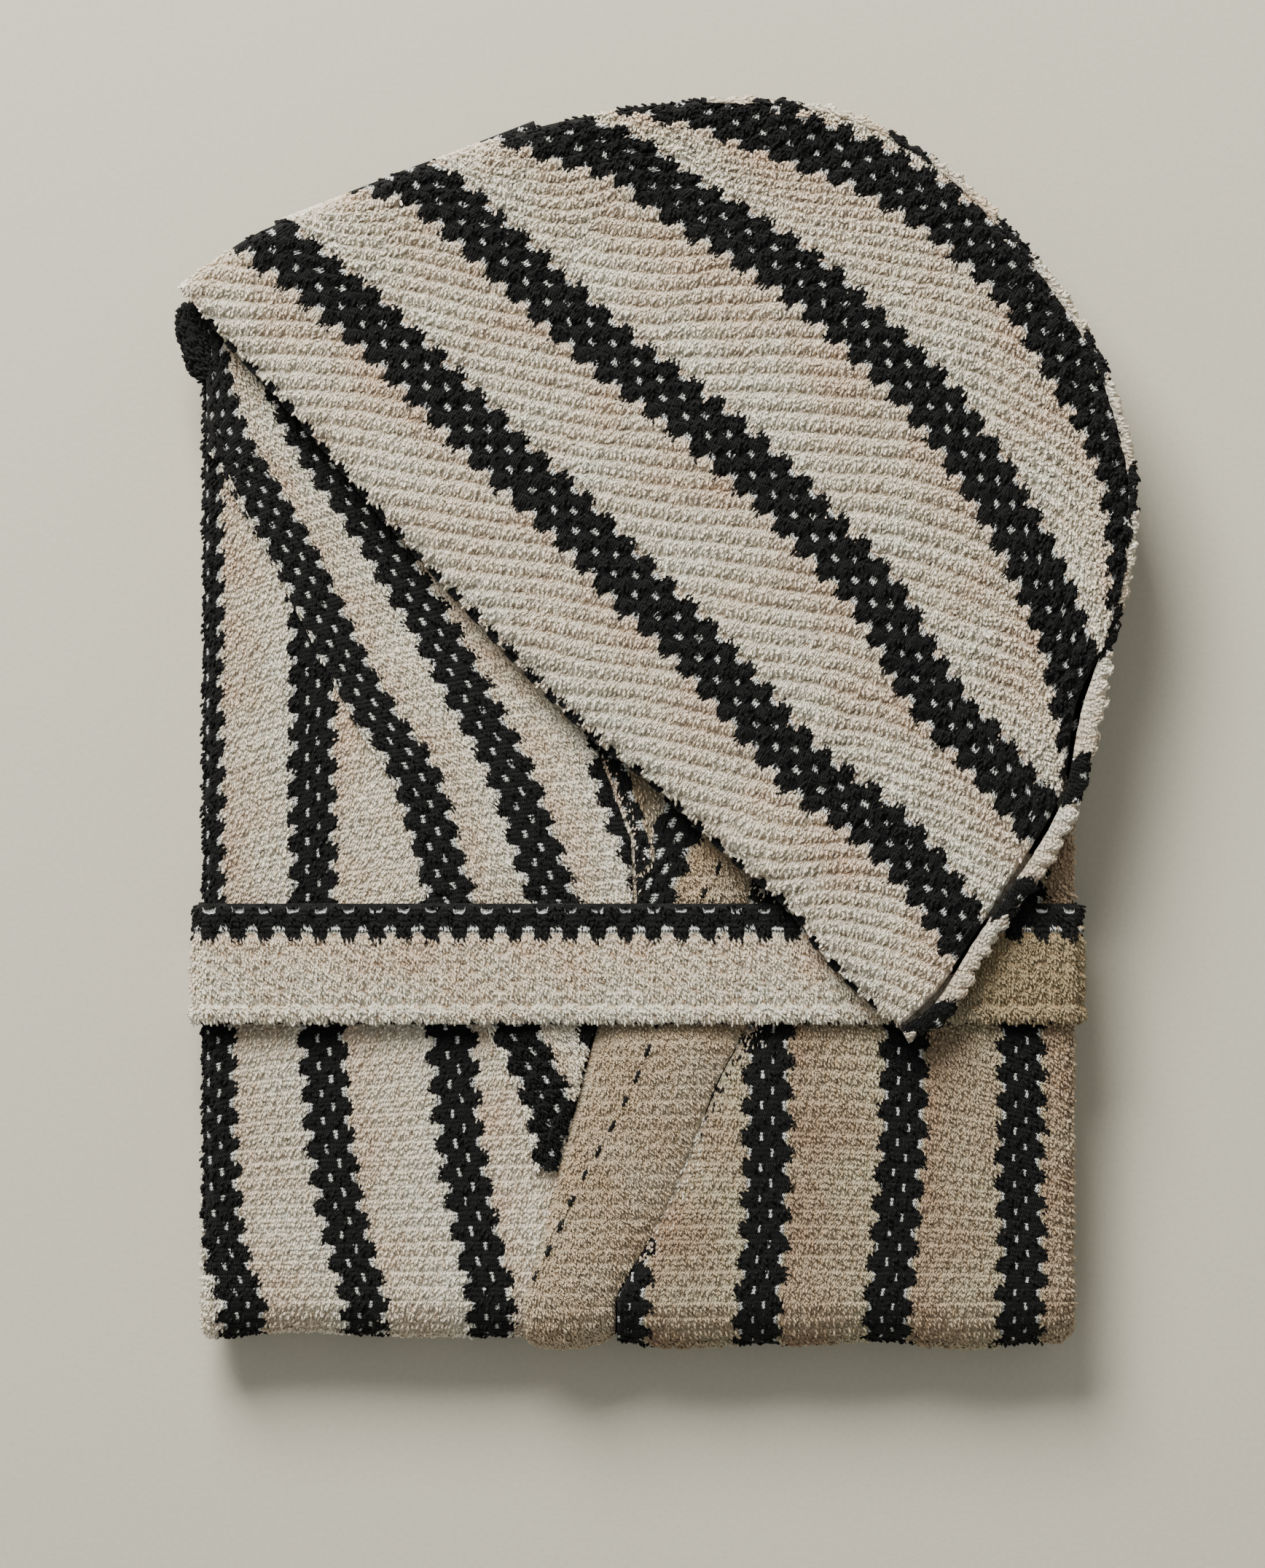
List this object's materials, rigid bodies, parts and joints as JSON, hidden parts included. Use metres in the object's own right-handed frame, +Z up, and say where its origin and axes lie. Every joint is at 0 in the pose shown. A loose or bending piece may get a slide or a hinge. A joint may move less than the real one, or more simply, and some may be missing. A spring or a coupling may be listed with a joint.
{
  "type": "hooded bathrobe, folded",
  "caption": "Child's hooded terry bathrobe with block stripes, folded into a flat bundle, hood turned down over the front and the belt round the waist.",
  "frame": {"origin": "centre of the bundle's footprint, on the surface it lies on", "axes": "+Z up, away from the surface; +Y along the folded robe towards the hood; +X to the right when the robe is seen from above with its hood at the top"},
  "size_m": [0.295, 0.3842, 0.0473],
  "materials": {
    "terry_body": "cream cotton terry with black block stripes",
    "terry_collar": "the same striped terry, stripes along the collar",
    "terry_hood": "the same striped terry, stripes across the hood",
    "terry_belt": "cream terry strip with one black stripe along its edge",
    "neck_tape": "flat woven cotton tape",
    "loop_cord": "twisted cotton cord"
  },
  "bodies": {
    "robe": {"back_panel": "terry_body", "left_front": "terry_body", "right_front": "terry_body", "left_collar": "terry_collar", "right_collar": "terry_collar", "left_sleeve": "terry_body", "right_sleeve": "terry_body", "left_cuff": "terry_body", "right_cuff": "terry_body", "left_hem": "terry_body", "right_hem": "terry_body", "back_hem": "terry_body", "left_belt_loop": "terry_belt", "right_belt_loop": "terry_belt", "neck_tape": "neck_tape", "hanger_loop": "loop_cord"},
    "belt": {"belt": "terry_belt"},
    "hood": {"hood_upper_half": "terry_hood", "hood_lower_half": "terry_hood", "hood_upper_facing": "terry_hood", "hood_lower_facing": "terry_hood", "crown_seam": "terry_hood"}
  },
  "joints": [
    {"name": "hood_lift", "type": "hinge", "parent": "robe", "child": "hood", "pos_m": [-0.079, 0.1705, 0.0335], "axis": [-0.933, -0.36, 0], "range_deg": [0, 160]},
    {"name": "belt_slide", "type": "slide", "parent": "robe", "child": "belt", "axis": [0, -1, 0], "range_m": [0, 0.15]}
  ]
}
